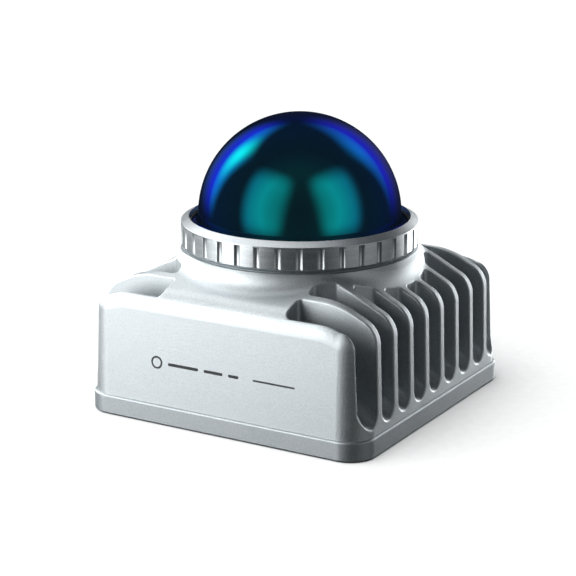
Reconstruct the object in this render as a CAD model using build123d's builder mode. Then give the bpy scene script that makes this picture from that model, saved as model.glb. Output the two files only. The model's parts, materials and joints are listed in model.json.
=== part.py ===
from build123d import *
import math
import os

# Dome lidar scanner module: a square finned housing on a base plate, with a screwed ring that
# clamps a domed window. Inside, a motor turns a scanning head about the vertical axis, and the
# head carries a four-sided mirror that spins on a level spindle.
#
# Frame: origin at the middle of the bottom face, +Z up, the plain front face towards -Y, the
# fins on the +X and -X sides and the connector on +Y. Lengths are in millimetres.

os.makedirs("parts", exist_ok=True)


def save(part, name):
    """Label a finished piece and write it as one STEP file."""
    part.label = name
    export_step(part, f"parts/{name}.step")
    print(f"{name:24s} {part.volume:10.1f} mm3")


# ---------------------------------------------------------------- driving dimensions
# outside
body_width = 65.0            # base plate, both ways
total_height = 60.0
corner_radius = 5.5
plate_height = 4.2           # seam between base plate and housing
housing_width = 64.2         # housing at the seam
wall_draft = 1.8             # degrees
side_slope = 0.5             # roof fall towards the fins
front_slope = 0.33           # roof fall towards front and rear
side_roof_height = 27.6      # roof height at side_roof_reach from the axis
side_roof_reach = 26.0
front_roof_height = 29.1     # roof height at front_roof_reach from the axis
front_roof_reach = 24.2
hip_radius = 12.0
top_edge_radius = 5.0
# cooling slots
slot_count = 9               # on each side
slot_pitch = 6.85
slot_width = 4.95
slot_floor = 5.6
slot_inner_radius = 26.0     # slots stop at this round wall
slot_rim_radius = 0.4
slot_reach = 15.5            # how near the middle plane the inner slots start
end_slot_reach = 14.4        # the same for the first and last slots
slot_floor_slope = 0.7       # floors climb inwards from the side wall
slot_corner_radius = 1.0     # inner corners, seen from above
# neck, ring and window
neck_radius = 24.6
neck_fillet = 4.0
neck_top = 32.45
boss_radius = 23.6
boss_top = 35.6
neck_bore = 21.3
ring_radius = 24.63
ring_bottom = 32.65
ring_edge_height = 37.85
ring_mouth_radius = 22.95
ring_mouth_height = 38.8
ring_bore = 23.65
lip_underside = 37.7
flute_count = 36
flute_radius = 0.75
flute_depth = 0.38
dome_radius = 21.07
dome_wall = 1.5
dome_centre = total_height - dome_radius
flange_radius = 23.3
flange_top = 37.4
flange_fillet = 1.0
# inside of the housing
cavity_radius = 24.0
cavity_top = 27.0
pocket_half_width = 12.0
pocket_half_depth = 28.5
pocket_top = 24.5
# fasteners
base_screw_places = (10.0, 26.0)
mount_spacing = (34.0, 24.0)
mount_hole_radius = 1.25     # M3 tapping size
mount_hole_depth = 5.0
board_screw_places = (8.0, 19.0)
post_ring = 22.5             # screws of the motor mount
# connector
connector_height = 13.5
pad_radius = 9.0
pad_face = 32.4
connector_length = 9.5
# scanning head
shaft_radius = 2.48
shaft_bore = 1.9
head_floor = 25.6
head_thickness = 2.0
head_radius = 18.6
head_top = head_floor + head_thickness
mirror_apothem = 7.5         # middle of the mirror block to a facet
beam_height = 36.5           # where the beam meets the facet that stands at 45 degrees
mirror_offset = mirror_apothem / math.sqrt(2)
mirror_x = -mirror_offset
mirror_z = beam_height + mirror_offset
fit_gap = 0.02

# ---------------------------------------------------------------- base plate
seal_inner = 58.8            # groove for the housing seal
seal_width = 1.2
seal_depth = 0.8
spigot_radius = 23.6
spigot_top = 5.0
board_underside = 7.2
boss_height = 6.4
locating_hole_x = 24.0
locating_hole_radius = 1.5
locating_hole_depth = 3.0
vent_y = -24.0
vent_radius = 3.6
vent_depth = 0.8
plate_screw_radius = 1.35
countersink_radius = 2.5

with BuildPart() as base_plate:
    with BuildSketch():
        RectangleRounded(body_width, body_width, corner_radius)
    extrude(amount=plate_height)
    chamfer(base_plate.edges().group_by(Axis.Z)[0], 0.4)
    fillet(base_plate.edges().group_by(Axis.Z)[-1], 0.45)
    with BuildSketch(Plane.XY.offset(plate_height)):
        Circle(spigot_radius)
    extrude(amount=spigot_top - plate_height)
    with BuildSketch(Plane.XY.offset(spigot_top)):
        with GridLocations(mount_spacing[0], mount_spacing[1], 2, 2):
            Circle(2.6)
    extrude(amount=boss_height - spigot_top)
    with BuildSketch(Plane.XY.offset(spigot_top)):
        with GridLocations(2 * board_screw_places[0], 2 * board_screw_places[1], 2, 2):
            Circle(2.0)
    extrude(amount=board_underside - spigot_top)
    # housing seal groove
    with BuildSketch(Plane.XY.offset(plate_height)):
        RectangleRounded(seal_inner + 2 * seal_width, seal_inner + 2 * seal_width, 3.9)
        RectangleRounded(seal_inner, seal_inner, 2.7, mode=Mode.SUBTRACT)
    extrude(amount=-seal_depth, mode=Mode.SUBTRACT)
    # threaded mounting holes, open at the bottom face
    with BuildSketch():
        with GridLocations(mount_spacing[0], mount_spacing[1], 2, 2):
            Circle(mount_hole_radius)
    extrude(amount=mount_hole_depth, mode=Mode.SUBTRACT)
    # locating holes
    with BuildSketch():
        with GridLocations(2 * locating_hole_x, 0, 2, 1):
            Circle(locating_hole_radius)
    extrude(amount=locating_hole_depth, mode=Mode.SUBTRACT)
    # countersunk screw holes
    with BuildSketch():
        with GridLocations(2 * base_screw_places[0], 2 * base_screw_places[1], 2, 2):
            Circle(plate_screw_radius)
    extrude(amount=plate_height, mode=Mode.SUBTRACT)
    sink = base_plate.edges().group_by(Axis.Z)[0].filter_by(
        lambda edge: edge.geom_type == GeomType.CIRCLE
        and abs(edge.radius - plate_screw_radius) < 0.01)
    chamfer(sink, countersink_radius - plate_screw_radius)
    # threads for the board screws
    with BuildSketch(Plane.XY.offset(board_underside)):
        with GridLocations(2 * board_screw_places[0], 2 * board_screw_places[1], 2, 2):
            Circle(0.9)
    extrude(amount=-4.0, mode=Mode.SUBTRACT)
    # vent recess and its through hole
    with BuildSketch():
        with Locations((0, vent_y)):
            Circle(vent_radius)
    extrude(amount=vent_depth, mode=Mode.SUBTRACT)
    with BuildSketch():
        with Locations((0, vent_y)):
            Circle(1.0)
    extrude(amount=spigot_top, mode=Mode.SUBTRACT)
save(base_plate.part, "base_plate")

with BuildPart() as vent_membrane:
    with BuildSketch(Plane.XY.offset(0.3)):
        with Locations((0, vent_y)):
            Circle(vent_radius - 0.1)
    extrude(amount=vent_depth - 0.3)
save(vent_membrane.part, "vent_membrane")

with BuildPart() as base_seal:
    with BuildSketch(Plane.XY.offset(plate_height - seal_depth)):
        RectangleRounded(seal_inner + 2 * seal_width - 0.1, seal_inner + 2 * seal_width - 0.1, 3.85)
        RectangleRounded(seal_inner + 0.1, seal_inner + 0.1, 2.75, mode=Mode.SUBTRACT)
    extrude(amount=seal_depth)
save(base_seal.part, "base_seal")

screw_radius = 1.22
with BuildPart() as base_screw:
    with BuildSketch(Plane.XZ):
        with BuildLine():
            Polyline((0, 0.15), (2.3, 0.15), (screw_radius, 1.2), (screw_radius, 13.2), (0, 13.8),
                     close=True)
        make_face()
    revolve(axis=Axis.Z)
    with BuildSketch(Plane.XY.offset(0.15)):
        RegularPolygon(0.85, 6)
    extrude(amount=0.8, mode=Mode.SUBTRACT)
with BuildPart() as base_screws:
    with GridLocations(2 * base_screw_places[0], 2 * base_screw_places[1], 2, 2):
        add(base_screw.part)
save(base_screws.part, "base_screws")

# ---------------------------------------------------------------- housing
# A drafted square block under a four-sided roof, with a round neck. The slots are cut from
# both sides down to a round inner wall, on round-bottomed floors that climb inwards.


def gable(slope, reach, height):
    """Half-open roof section that is `height` tall at `reach` from the middle."""
    eave = 40
    wall = height - slope * (eave - reach)
    return [(-eave, 0), (-eave, wall), (0, height + slope * reach), (eave, wall), (eave, 0)]


with BuildPart() as slots:
    start_x = 40.0
    start_floor = slot_floor - slot_floor_slope * (start_x - housing_width / 2)
    start_round = start_floor + slot_width / 2
    for side in (1, -1):
        for number in range(slot_count):
            place = (number - (slot_count - 1) / 2) * slot_pitch
            reach = end_slot_reach if number in (0, slot_count - 1) else slot_reach
            with BuildSketch(Plane.YZ.offset(side * start_x)):
                with Locations((place, start_round + 25)):
                    Rectangle(slot_width, 50)
                with Locations((place, start_round)):
                    Circle(slot_width / 2)
            extrude(amount=(start_x - reach) * math.hypot(1, slot_floor_slope),
                    dir=(-side, 0, slot_floor_slope))
    with BuildSketch():
        Circle(slot_inner_radius)
    extrude(amount=120, mode=Mode.SUBTRACT)
    inner_ends = slots.edges().filter_by(Axis.Z).filter_by(
        lambda edge: abs(edge.center().X) < slot_inner_radius + 0.01)
    fillet(inner_ends, slot_corner_radius)

with BuildPart() as housing:
    with BuildSketch(Plane.XY.offset(plate_height)):
        RectangleRounded(housing_width, housing_width, corner_radius)
    extrude(amount=36, taper=wall_draft)
    with BuildSketch(Plane.XZ):
        with BuildLine():
            Polyline(*gable(side_slope, side_roof_reach, side_roof_height), close=True)
        make_face()
    extrude(amount=45, both=True, mode=Mode.INTERSECT)
    with BuildSketch(Plane.YZ):
        with BuildLine():
            Polyline(*gable(front_slope, front_roof_reach, front_roof_height), close=True)
        make_face()
    extrude(amount=45, both=True, mode=Mode.INTERSECT)
    hips = housing.edges().filter_by(GeomType.LINE).filter_by(
        lambda edge: min(abs(edge.tangent_at(0).X), abs(edge.tangent_at(0).Y)) > 0.1)
    fillet(hips, hip_radius)
    eaves = housing.edges().filter_by(
        lambda edge: (edge @ 0.5).Z > 20 and max(abs((edge @ 0.5).X), abs((edge @ 0.5).Y)) > 28)
    fillet(eaves, top_edge_radius)
    # neck with its flared foot, trimmed under the ring, and the boss that the window sits on
    with BuildSketch(Plane.XY.offset(20)):
        Circle(neck_radius)
    extrude(amount=25)
    neck_foot = housing.edges().filter_by(
        lambda edge: abs(math.hypot((edge @ 0.5).X, (edge @ 0.5).Y) - neck_radius) < 0.05
        and 25 < (edge @ 0.5).Z < 34)
    fillet(neck_foot, neck_fillet)
    with BuildSketch(Plane.XY.offset(neck_top)):
        Circle(50)
        Circle(boss_radius, mode=Mode.SUBTRACT)
    extrude(amount=20, mode=Mode.SUBTRACT)
    with BuildSketch(Plane.XY.offset(boss_top)):
        Circle(50)
    extrude(amount=20, mode=Mode.SUBTRACT)
    # slots with softened rims
    skin = housing.part.shells()[0]
    add(slots.part, mode=Mode.SUBTRACT)
    rims = housing.edges(Select.LAST).filter_by(
        lambda edge: max(skin.distance_to(edge @ 0.5), skin.distance_to(edge @ 0.2)) < 0.003)
    fillet(rims, slot_rim_radius)
    # flat pad for the connector
    with BuildSketch(Plane.XZ.offset(-pocket_half_depth)):
        with Locations((0, connector_height)):
            Circle(pad_radius)
    extrude(amount=-(pad_face - pocket_half_depth))
    # cavity, front and rear pockets, neck bore
    with BuildSketch(Plane.XY.offset(plate_height)):
        Circle(cavity_radius)
    extrude(amount=cavity_top - plate_height, mode=Mode.SUBTRACT)
    with BuildSketch(Plane.XY.offset(plate_height)):
        RectangleRounded(2 * pocket_half_width, 2 * pocket_half_depth, 1.5)
    extrude(amount=pocket_top - plate_height, mode=Mode.SUBTRACT)
    with BuildSketch(Plane.XY.offset(cavity_top - 1)):
        Circle(neck_bore)
    extrude(amount=boss_top, mode=Mode.SUBTRACT)
    # window seal groove
    with BuildSketch(Plane.XY.offset(boss_top)):
        Circle(23.0)
        Circle(22.0, mode=Mode.SUBTRACT)
    extrude(amount=-0.7, mode=Mode.SUBTRACT)
    # connector hole and its seal groove
    with BuildSketch(Plane.XZ.offset(-pocket_half_depth + 1)):
        with Locations((0, connector_height)):
            Circle(5.45)
    extrude(amount=-8, mode=Mode.SUBTRACT)
    with BuildSketch(Plane.XZ.offset(-pad_face)):
        with Locations((0, connector_height)):
            Circle(7.4)
            Circle(6.4, mode=Mode.SUBTRACT)
    extrude(amount=0.6, mode=Mode.SUBTRACT)
    # columns for the base screws
    with BuildSketch(Plane.XY.offset(plate_height)):
        with GridLocations(2 * base_screw_places[0], 2 * base_screw_places[1], 2, 2):
            Circle(2.4)
    extrude(amount=pocket_top - plate_height + 0.5)
    with BuildSketch(Plane.XY.offset(plate_height)):
        with GridLocations(2 * base_screw_places[0], 2 * base_screw_places[1], 2, 2):
            Circle(1.25)
    extrude(amount=10, mode=Mode.SUBTRACT)
    # screw holes for the motor mount posts
    with BuildSketch(Plane.XY.offset(cavity_top)):
        with PolarLocations(post_ring, 3, start_angle=30):
            Circle(0.8)
    extrude(amount=4, mode=Mode.SUBTRACT)
save(housing.part, "housing")

# ---------------------------------------------------------------- window, seals and ring
with BuildPart() as dome_window:
    inner_radius = dome_radius - dome_wall
    with BuildSketch(Plane.XZ):
        with BuildLine():
            crown = CenterArc((0, dome_centre), dome_radius, 0, 90)
            wall = Line(crown @ 0, (dome_radius, flange_top + flange_fillet))
            root = CenterArc((dome_radius + flange_fillet, flange_top + flange_fillet),
                             flange_fillet, 180, 90)
            Polyline(root @ 1, (flange_radius, flange_top), (flange_radius, boss_top),
                     (inner_radius, boss_top), (inner_radius, dome_centre))
            bore = CenterArc((0, dome_centre), inner_radius, 0, 90)
            Line(bore @ 1, crown @ 1)
        make_face()
    revolve(axis=Axis.Z)
save(dome_window.part, "dome_window")

with BuildPart() as dome_seal:
    with BuildSketch(Plane.XY.offset(boss_top - 0.7)):
        Circle(22.98)
        Circle(22.02, mode=Mode.SUBTRACT)
    extrude(amount=0.7)
save(dome_seal.part, "dome_seal")

with BuildPart() as ring_gasket:
    with BuildSketch(Plane.XY.offset(flange_top)):
        Circle(flange_radius)
        Circle(22.4, mode=Mode.SUBTRACT)
    extrude(amount=lip_underside - flange_top)
save(ring_gasket.part, "ring_gasket")

with BuildPart() as retaining_ring:
    pad_bottom = ring_bottom + 0.7
    with BuildSketch(Plane.XZ):
        with BuildLine():
            Polyline((ring_bore, ring_bottom), (ring_bore, lip_underside),
                     (ring_mouth_radius, lip_underside), (ring_mouth_radius, ring_mouth_height),
                     (ring_radius, ring_edge_height), (ring_radius, pad_bottom),
                     (ring_radius - 0.7, ring_bottom), close=True)
        make_face()
    revolve(axis=Axis.Z)
    # grip flutes around the rim, closed at both ends
    with BuildSketch(Plane.XY.offset(pad_bottom)):
        with PolarLocations(ring_radius + flute_radius - flute_depth, flute_count):
            Circle(flute_radius)
    extrude(amount=ring_edge_height - 0.3 - pad_bottom, mode=Mode.SUBTRACT)
save(retaining_ring.part, "retaining_ring")

# ---------------------------------------------------------------- rear connector
tail_end = 25.2
socket_floor = 35.4
connector_tip = pad_face + connector_length
with BuildPart() as connector_shell:
    with BuildSketch(Plane.YZ):
        with BuildLine():
            Polyline((tail_end, 4.42), (tail_end, 5.4), (pad_face, 5.4), (pad_face, 8.2),
                     (pad_face + 1.7, 8.2), (pad_face + 2.0, 7.9), (pad_face + 2.0, 5.5),
                     (pad_face + 3.0, 5.5), (pad_face + 3.5, 6.0), (connector_tip - 0.5, 6.0),
                     (connector_tip, 5.5), (connector_tip, 4.42), close=True)
        make_face()
    revolve(axis=Axis.Y)
    # thread grooves
    for turn in range(4):
        groove_y = pad_face + 4.2 + turn * 1.2
        with BuildSketch(Plane.YZ):
            with BuildLine():
                Polyline((groove_y - 0.35, 6.1), (groove_y, 5.55), (groove_y + 0.35, 6.1),
                         close=True)
            make_face()
        revolve(axis=Axis.Y, mode=Mode.SUBTRACT)
    # coding rib along the socket wall
    with BuildSketch(Plane.XZ.offset(-socket_floor)):
        with Locations((0, 4.15)):
            Rectangle(0.8, 0.9)
    extrude(amount=-4.0)
save(Pos(0, 0, connector_height) * connector_shell.part, "connector_shell")

pin_spots = 8
with BuildPart() as connector_insert:
    with BuildSketch(Plane.XZ.offset(-tail_end)):
        Circle(4.4)
        with PolarLocations(2.9, pin_spots):
            Circle(0.36, mode=Mode.SUBTRACT)
        with PolarLocations(1.3, pin_spots // 2):
            Circle(0.36, mode=Mode.SUBTRACT)
    extrude(amount=-(socket_floor - tail_end))
save(Pos(0, 0, connector_height) * connector_insert.part, "connector_insert")

with BuildPart() as connector_pins:
    with BuildSketch(Plane.XZ.offset(-24.5)):
        with PolarLocations(2.9, pin_spots):
            Circle(0.34)
        with PolarLocations(1.3, pin_spots // 2):
            Circle(0.34)
    extrude(amount=-(39.8 - 24.5))
    chamfer(connector_pins.edges().group_by(Axis.Y)[-1], 0.15)
save(Pos(0, 0, connector_height) * connector_pins.part, "connector_pins")

with BuildPart() as connector_seal:
    with BuildSketch(Plane.XZ.offset(-pad_face)):
        Circle(7.38)
        Circle(6.42, mode=Mode.SUBTRACT)
    extrude(amount=0.6)
save(Pos(0, 0, connector_height) * connector_seal.part, "connector_seal")

with BuildPart() as connector_nut:
    with BuildSketch(Plane.XZ.offset(-pocket_half_depth)):
        RegularPolygon(7.0, 6, major_radius=False, rotation=30)
        Circle(5.42, mode=Mode.SUBTRACT)
    extrude(amount=2.4)
save(Pos(0, 0, connector_height) * connector_nut.part, "connector_nut")

with BuildPart() as connector_board:
    with BuildSketch(Plane.XZ.offset(-24.0)):
        with Locations((0, 0.8)):
            RectangleRounded(12, 10.4, 0.8)
        Circle(0.45, mode=Mode.SUBTRACT)
    extrude(amount=-0.5)
save(Pos(0, 0, connector_height) * connector_board.part, "connector_board")

with BuildPart() as connector_flex:
    with BuildSketch(Plane.YZ):
        with BuildLine():
            Polyline((19.5, 8.8), (19.5, 9.0), (23.6, 9.0), (23.8, 9.2), (23.8, 17.5), (24.0, 17.5),
                     (24.0, 9.1), (23.7, 8.8), close=True)
        make_face()
    extrude(amount=3.5, both=True)
save(connector_flex.part, "connector_flex")

# ---------------------------------------------------------------- electronics and optics
board_thickness = 1.6
board_top = board_underside + board_thickness
with BuildPart() as main_board:
    with BuildSketch(Plane.XY.offset(board_underside)):
        Circle(22.8)
        with GridLocations(2 * board_screw_places[0], 2 * board_screw_places[1], 2, 2):
            Circle(1.05, mode=Mode.SUBTRACT)
    extrude(amount=board_thickness)
save(main_board.part, "main_board")

with BuildPart() as board_screw:
    with BuildSketch(Plane.XY.offset(board_top)):
        Circle(1.8)
    extrude(amount=1.3)
    fillet(board_screw.edges().group_by(Axis.Z)[-1], 0.5)
    with BuildSketch(Plane.XY.offset(board_top)):
        Circle(0.87)
    extrude(amount=-5.0)
    with BuildSketch(Plane.XY.offset(board_top + 1.3)):
        RegularPolygon(0.75, 6)
    extrude(amount=-0.7, mode=Mode.SUBTRACT)
with BuildPart() as board_screws:
    with GridLocations(2 * board_screw_places[0], 2 * board_screw_places[1], 2, 2):
        add(board_screw.part)
save(board_screws.part, "board_screws")

with BuildPart() as main_processor:
    with BuildSketch(Plane.XY.offset(board_underside)):
        RectangleRounded(12, 12, 0.3)
    extrude(amount=-1.3)
save(main_processor.part, "main_processor")

with BuildPart() as thermal_pad:
    with BuildSketch(Plane.XY.offset(spigot_top)):
        RectangleRounded(13, 13, 0.5)
    extrude(amount=board_underside - 1.3 - spigot_top)
save(thermal_pad.part, "thermal_pad")

with BuildPart() as memory_chips:
    with BuildSketch(Plane.XY.offset(board_top)):
        with Locations((-12, 6.5), (-12, -6.5)):
            RectangleRounded(7, 9, 0.2)
    extrude(amount=1.0)
save(memory_chips.part, "memory_chips")

with BuildPart() as network_transformer:
    with BuildSketch(Plane.XY.offset(board_top)):
        with Locations((0, 13)):
            RectangleRounded(10, 7, 0.4)
    extrude(amount=3.2)
save(network_transformer.part, "network_transformer")

with BuildPart() as power_capacitors:
    with BuildSketch(Plane.XY.offset(board_top)):
        with Locations((12, -8), (16.5, -8), (12, -12.5)):
            Circle(2.0)
    extrude(amount=4.0)
    fillet(power_capacitors.edges().group_by(Axis.Z)[-1], 0.4)
save(power_capacitors.part, "power_capacitors")

with BuildPart() as power_inductors:
    with BuildSketch(Plane.XY.offset(board_top)):
        with Locations((13, 4), (13, 10)):
            RectangleRounded(4.5, 4.5, 0.8)
    extrude(amount=2.4)
save(power_inductors.part, "power_inductors")

barrel_bore = 3.4
barrel_top = 14.0
with BuildPart() as lens_barrel:
    with BuildSketch(Plane.XY.offset(board_top)):
        Circle(4.6)
        Circle(barrel_bore, mode=Mode.SUBTRACT)
    extrude(amount=barrel_top - board_top)
    with BuildSketch(Plane.XY.offset(board_top)):
        Circle(6.0)
        Circle(4.6, mode=Mode.SUBTRACT)
    extrude(amount=0.8)
save(lens_barrel.part, "lens_barrel")

lens_radius = barrel_bore - fit_gap
lens_sag = 0.7
lens_curve = (lens_radius**2 + lens_sag**2) / (2 * lens_sag)
lens_angle = math.degrees(math.acos(lens_radius / lens_curve))
with BuildPart() as collimating_lens:
    with BuildSketch(Plane.XZ):
        with BuildLine():
            upper = CenterArc((0, 13.9 - lens_curve), lens_curve, lens_angle, 90 - lens_angle)
            lower = CenterArc((0, 11.8 + lens_curve), lens_curve, 270, 90 - lens_angle)
            Line(upper @ 1, lower @ 0)
            Line(upper @ 0, lower @ 1)
        make_face()
    revolve(axis=Axis.Z)
save(collimating_lens.part, "collimating_lens")

with BuildPart() as laser_diode:
    with BuildSketch(Plane.XY.offset(board_top)):
        with Locations((-1.6, 0)):
            Circle(1.4)
    extrude(amount=0.5)
    with BuildSketch(Plane.XY.offset(board_top + 0.5)):
        with Locations((-1.6, 0)):
            Circle(1.1)
    extrude(amount=1.6)
save(laser_diode.part, "laser_diode")

with BuildPart() as photodetector:
    with BuildSketch(Plane.XY.offset(board_top)):
        with Locations((1.6, 0)):
            Rectangle(2.0, 2.6)
    extrude(amount=1.1)
save(photodetector.part, "photodetector")

# ---------------------------------------------------------------- spin motor, fixed side
mount_floor = 14.4
mount_top = 16.2
tube_radius = 5.0
bearing_radius = 4.0
bearing_bore = 2.5
bearing_width = 2.5
tube_top = 24.4
with BuildPart() as motor_mount:
    with BuildSketch(Plane.XY.offset(mount_floor)):
        Circle(23.4)
        Circle(bearing_radius, mode=Mode.SUBTRACT)
    extrude(amount=mount_top - mount_floor)
    with BuildSketch(Plane.XY.offset(mount_top)):
        Circle(tube_radius)
        Circle(bearing_radius, mode=Mode.SUBTRACT)
    extrude(amount=tube_top - mount_top)
    with BuildSketch(Plane.XY.offset(mount_top)):
        with PolarLocations(post_ring, 3, start_angle=30):
            Circle(1.4)
    extrude(amount=cavity_top - mount_top)
    with BuildSketch(Plane.XY.offset(mount_floor)):
        with PolarLocations(post_ring, 3, start_angle=30):
            Circle(0.85)
    extrude(amount=cavity_top - mount_floor, mode=Mode.SUBTRACT)
    # wiring window beside the board-to-motor flex
    with BuildSketch(Plane.XY.offset(mount_floor)):
        with Locations((-16.5, 0)):
            SlotOverall(8, 2.4, rotation=90)
    extrude(amount=mount_top - mount_floor, mode=Mode.SUBTRACT)
save(motor_mount.part, "motor_mount")

with BuildPart() as mount_screws:
    with PolarLocations(post_ring, 3, start_angle=30):
        Cylinder(1.1, 1.0, align=(Align.CENTER, Align.CENTER, Align.MAX))
    with PolarLocations(post_ring, 3, start_angle=30):
        Cylinder(0.78, 15.5, align=(Align.CENTER, Align.CENTER, Align.MIN))
save(Pos(0, 0, mount_floor) * mount_screws.part, "mount_screws")


def bearing_profile(bore, radius, width):
    """Half section of a shielded ball bearing: two rings with the shields set back."""
    ring = (radius - bore) * 0.3
    return [(bore, 0), (bore, width), (bore + ring, width), (bore + ring, width - 0.2),
            (radius - ring, width - 0.2), (radius - ring, width), (radius, width), (radius, 0),
            (radius - ring, 0), (radius - ring, 0.2), (bore + ring, 0.2), (bore + ring, 0)]


with BuildPart() as shaft_bearing:
    with BuildSketch(Plane.XZ):
        with BuildLine():
            Polyline(*bearing_profile(bearing_bore, bearing_radius - fit_gap, bearing_width),
                     close=True)
        make_face()
    revolve(axis=Axis.Z)
save(Pos(0, 0, 14.8) * shaft_bearing.part, "lower_bearing")
save(Pos(0, 0, 21.7) * shaft_bearing.part, "upper_bearing")

pole_count = 9
core_floor = 17.6
core_height = 4.0
tooth_width = 1.7
with BuildPart() as stator_core:
    with BuildSketch(Plane.XY.offset(core_floor)):
        Circle(11.4)
        Circle(10.4, mode=Mode.SUBTRACT)
        with PolarLocations(10.9, pole_count, start_angle=180 / pole_count):
            Rectangle(2.4, 1.1, mode=Mode.SUBTRACT)
        with PolarLocations(8.2, pole_count):
            Rectangle(4.6, tooth_width)
        Circle(6.6)
        Circle(tube_radius + fit_gap, mode=Mode.SUBTRACT)
    extrude(amount=core_height)
save(stator_core.part, "stator_core")

with BuildPart() as stator_windings:
    with PolarLocations(8.5, pole_count):
        Box(3.0, 3.3, core_height + 1.8)
    fillet(stator_windings.edges().filter_by(Axis.Z), 0.3)
    with PolarLocations(8.5, pole_count):
        Box(4.0, tooth_width + 2 * fit_gap, core_height + 2 * fit_gap, mode=Mode.SUBTRACT)
save(Pos(0, 0, core_floor + core_height / 2) * stator_windings.part, "stator_windings")

with BuildPart() as power_coil_fixed:
    with BuildSketch(Plane.XY.offset(mount_top)):
        Circle(17.4)
        Circle(14.4, mode=Mode.SUBTRACT)
        with Locations((-16.5, 0)):
            Rectangle(3.4, 9.0, mode=Mode.SUBTRACT)
    extrude(amount=1.0)
save(power_coil_fixed.part, "power_coil_fixed")

with BuildPart() as encoder_sensor:
    with BuildSketch(Plane.XZ):
        with BuildLine():
            Polyline((18.0, mount_top), (18.0, 20.4), (15.4, 20.4), (15.4, 21.3), (18.2, 21.3),
                     (18.2, 23.0), (15.4, 23.0), (15.4, 23.9), (20.4, 23.9), (20.4, mount_top),
                     close=True)
        make_face()
    extrude(amount=2.2, both=True)
save(Rot(0, 0, 45) * encoder_sensor.part, "encoder_sensor")

with BuildPart() as motor_flex:
    with BuildSketch(Plane.XZ):
        with BuildLine():
            Polyline((-19.5, board_top), (-19.5, 9.0), (-16.7, 9.0), (-16.7, 16.6), (-16.5, 16.6),
                     (-16.5, board_top), close=True)
        make_face()
    extrude(amount=2.5, both=True)
save(motor_flex.part, "motor_flex")

# ---------------------------------------------------------------- scanning head
with BuildPart() as hollow_shaft:
    with BuildSketch(Plane.XY.offset(14.2)):
        Circle(shaft_radius)
        Circle(shaft_bore, mode=Mode.SUBTRACT)
    extrude(amount=head_top - 14.2)
save(hollow_shaft.part, "hollow_shaft")

with BuildPart() as shaft_clip:
    with BuildSketch(Plane.XY.offset(14.4)):
        Circle(3.3)
        Circle(shaft_radius + fit_gap, mode=Mode.SUBTRACT)
    extrude(amount=0.35)
save(shaft_clip.part, "shaft_clip")

hub_radius = 13.7
hub_floor = 17.4
magnet_count = 12
magnet_radius = 12.9
screw_ring = 6.0
with BuildPart() as rotor_hub:
    with BuildSketch(Plane.XY.offset(hub_floor)):
        Circle(hub_radius)
    extrude(amount=head_floor - hub_floor)
    with BuildSketch(Plane.XY.offset(hub_floor)):
        Circle(magnet_radius + fit_gap)
    extrude(amount=head_floor - 1.0 - hub_floor, mode=Mode.SUBTRACT)
    with BuildSketch(Plane.XY.offset(hub_floor)):
        Circle(shaft_radius + fit_gap)
        with PolarLocations(screw_ring, 3):
            Circle(0.82)
    extrude(amount=head_floor - hub_floor, mode=Mode.SUBTRACT)
save(rotor_hub.part, "rotor_hub")

with BuildPart() as rotor_magnets:
    with BuildSketch(Plane.XY.offset(core_floor)):
        Circle(magnet_radius)
        Circle(11.8, mode=Mode.SUBTRACT)
        with PolarLocations(12.4, magnet_count):
            Rectangle(2.0, 0.5, mode=Mode.SUBTRACT)
    extrude(amount=core_height)
save(rotor_magnets.part, "rotor_magnets")

with BuildPart() as power_coil_rotor:
    with BuildSketch(Plane.XY.offset(17.9)):
        Circle(17.4)
        Circle(hub_radius + fit_gap, mode=Mode.SUBTRACT)
    extrude(amount=1.0)
save(power_coil_rotor.part, "power_coil_rotor")

with BuildPart() as encoder_disc:
    with BuildSketch(Plane.XY.offset(22.0)):
        Circle(17.6)
        Circle(hub_radius + fit_gap, mode=Mode.SUBTRACT)
        with PolarLocations(16.4, 36):
            Rectangle(1.2, 1.2, mode=Mode.SUBTRACT)
    extrude(amount=0.4)
save(encoder_disc.part, "encoder_disc")

cheek_gap = 8.2              # middle plane to the inner face of each cheek
cheek_thickness = 2.0
spindle_radius = 1.48
spindle_bearing_radius = 3.0
with BuildPart() as head_frame:
    with BuildSketch(Plane.XY.offset(head_floor)):
        Circle(head_radius)
        Circle(shaft_radius + fit_gap, mode=Mode.SUBTRACT)
        with PolarLocations(screw_ring, 3):
            Circle(0.85, mode=Mode.SUBTRACT)
    extrude(amount=head_thickness)
    for side in (1, -1):
        with BuildSketch(Plane.XZ.offset(side * cheek_gap)):
            with BuildLine():
                Polyline((-11.5, head_top), (3.0, head_top), (mirror_x + 4.4, mirror_z),
                         (mirror_x - 4.4, mirror_z), close=True)
            make_face()
            with Locations((mirror_x, mirror_z)):
                Circle(4.4)
                Circle(spindle_bearing_radius, mode=Mode.SUBTRACT)
        extrude(amount=side * cheek_thickness)
save(head_frame.part, "head_frame")

with BuildPart() as head_screws:
    with PolarLocations(screw_ring, 3):
        Cylinder(1.4, 1.0, align=(Align.CENTER, Align.CENTER, Align.MIN))
        Cylinder(0.8, 2.8, align=(Align.CENTER, Align.CENTER, Align.MAX))
save(Pos(0, 0, head_top) * head_screws.part, "head_screws")


def sector(inner, outer, middle, half_angle):
    """Flat ring sector on the XY plane, centred on the angle `middle`."""
    with BuildSketch(mode=Mode.PRIVATE) as shape:
        with BuildLine():
            far = CenterArc((0, 0), outer, middle - half_angle, 2 * half_angle)
            near = CenterArc((0, 0), inner, middle - half_angle, 2 * half_angle)
            Line(far @ 0, near @ 0)
            Line(far @ 1, near @ 1)
        make_face()
    return shape.sketch


with BuildPart() as balance_weight:
    with BuildSketch(Plane.XY.offset(head_top)):
        add(sector(12.5, 17.6, 0, 42))
    extrude(amount=3.0)
    fillet(balance_weight.edges().group_by(Axis.Z)[-1], 0.4)
save(balance_weight.part, "balance_weight")

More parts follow.
